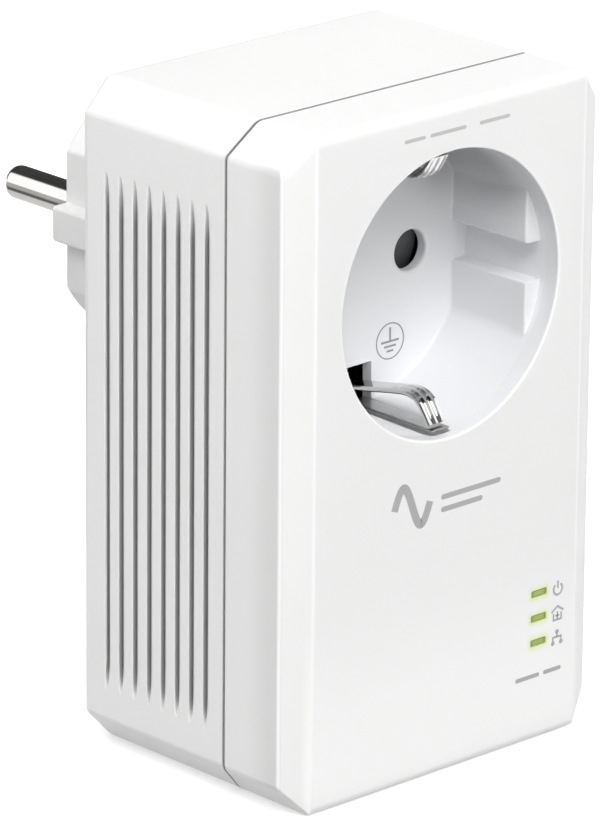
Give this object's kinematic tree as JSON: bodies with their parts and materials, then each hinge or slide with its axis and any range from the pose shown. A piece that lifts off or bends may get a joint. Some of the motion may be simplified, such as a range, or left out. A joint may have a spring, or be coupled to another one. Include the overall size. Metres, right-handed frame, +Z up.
{
  "type": "powerline adapter",
  "caption": "Plug-in powerline network adapter with a pass-through round mains socket, status lights, side vents and a two-pin plug at the back.",
  "frame": {"origin": "centre of the plug's flat contact face, midway between its two pins", "axes": "+Y points into the wall socket along the pins, +Z is up, +X is to the right as seen from the front"},
  "size_m": [0.058, 0.079, 0.095],
  "materials": {
    "casing": "glossy white moulded plastic",
    "insert": "satin white moulded plastic",
    "shutter": "dark grey moulded plastic",
    "nickel": "polished nickel plate",
    "steel": "bright zinc plate",
    "brass": "stamped brass",
    "lens": "clear green plastic",
    "board": "green lacquered circuit board",
    "chip": "matt black moulding",
    "black_plastic": "satin black plastic",
    "sleeve": "blue shrink sleeve",
    "aluminium": "extruded aluminium",
    "ferrite": "sintered dark ferrite",
    "copper": "enamelled copper wire",
    "ceramic": "blue lacquered ceramic",
    "film_yellow": "yellow moulded box",
    "lead_red": "red insulated wire",
    "lead_blue": "blue insulated wire",
    "label": "plain pale grey film"
  },
  "bodies": {
    "adapter": {"front_cover": "casing", "rear_casing": "casing", "plug_body": "casing", "socket_insert": "insert", "plug_pin_right": "nickel", "plug_pin_left": "nickel", "plug_earth_contact_top": "nickel", "plug_earth_contact_bottom": "nickel", "case_screw_top_left": "steel", "case_screw_top_right": "steel", "case_screw_bottom_left": "steel", "case_screw_bottom_right": "steel", "socket_screw_left": "steel", "socket_screw_right": "steel", "shutter_spring": "steel", "jack_shield": "steel", "clock_crystal": "steel", "socket_contact_right": "brass", "busbar_right": "brass", "socket_contact_left": "brass", "busbar_left": "brass", "earth_bridge": "brass", "jack_contacts": "brass", "light_guide": "lens", "status_lamp_1": "lens", "status_lamp_2": "lens", "status_lamp_3": "lens", "logic_board": "board", "power_board": "board", "main_chip": "chip", "memory_chip": "chip", "ethernet_transformer": "chip", "pair_switch": "chip", "reset_switch": "chip", "contact_carrier": "black_plastic", "jack_housing": "black_plastic", "choke_base": "black_plastic", "insulating_sheet_left": "black_plastic", "insulating_sheet_right": "black_plastic", "bulk_capacitor_left": "sleeve", "bulk_capacitor_right": "sleeve", "heat_sink": "aluminium", "transformer_core": "ferrite", "coupling_transformer": "ferrite", "transformer_winding": "copper", "common_mode_choke": "copper", "fuse": "ceramic", "varistor": "ceramic", "mains_capacitor": "film_yellow", "mains_connector": "film_yellow", "mains_lead_right": "lead_red", "mains_lead_left": "lead_blue", "rating_label": "label", "board_link": "label"},
    "pair_button": {"pair_button": "insert", "pair_switch_stem": "black_plastic"},
    "reset_stem": {"reset_switch_stem": "black_plastic"},
    "shutter": {"safety_shutter": "shutter"},
    "earth_clip_top": {"earth_clip_top": "nickel"},
    "earth_clip_bottom": {"earth_clip_bottom": "nickel"}
  },
  "joints": [
    {"name": "pair_button_press", "type": "slide", "parent": "adapter", "child": "pair_button", "axis": [0, 0, 1], "range_m": [0, 0.0006], "stiffness_N_per_m": 900},
    {"name": "reset_stem_press", "type": "slide", "parent": "adapter", "child": "reset_stem", "axis": [0, 0, 1], "range_m": [0, 0.0006], "stiffness_N_per_m": 900},
    {"name": "shutter_turn", "type": "hinge", "parent": "adapter", "child": "shutter", "pos_m": [0, -0.0392, 0], "axis": [0, 1, 0], "range_deg": [0, 40], "stiffness_Nm_per_rad": 0.01, "deforming": ["shutter_spring"]},
    {"name": "earth_clip_top_flex", "type": "hinge", "parent": "adapter", "child": "earth_clip_top", "pos_m": [0, -0.0414, 0.0172], "axis": [-1, 0, 0], "range_deg": [0, 4], "stiffness_Nm_per_rad": 2},
    {"name": "earth_clip_bottom_flex", "type": "hinge", "parent": "adapter", "child": "earth_clip_bottom", "pos_m": [0, -0.0414, -0.0172], "axis": [1, 0, 0], "range_deg": [0, 4], "stiffness_Nm_per_rad": 2}
  ]
}
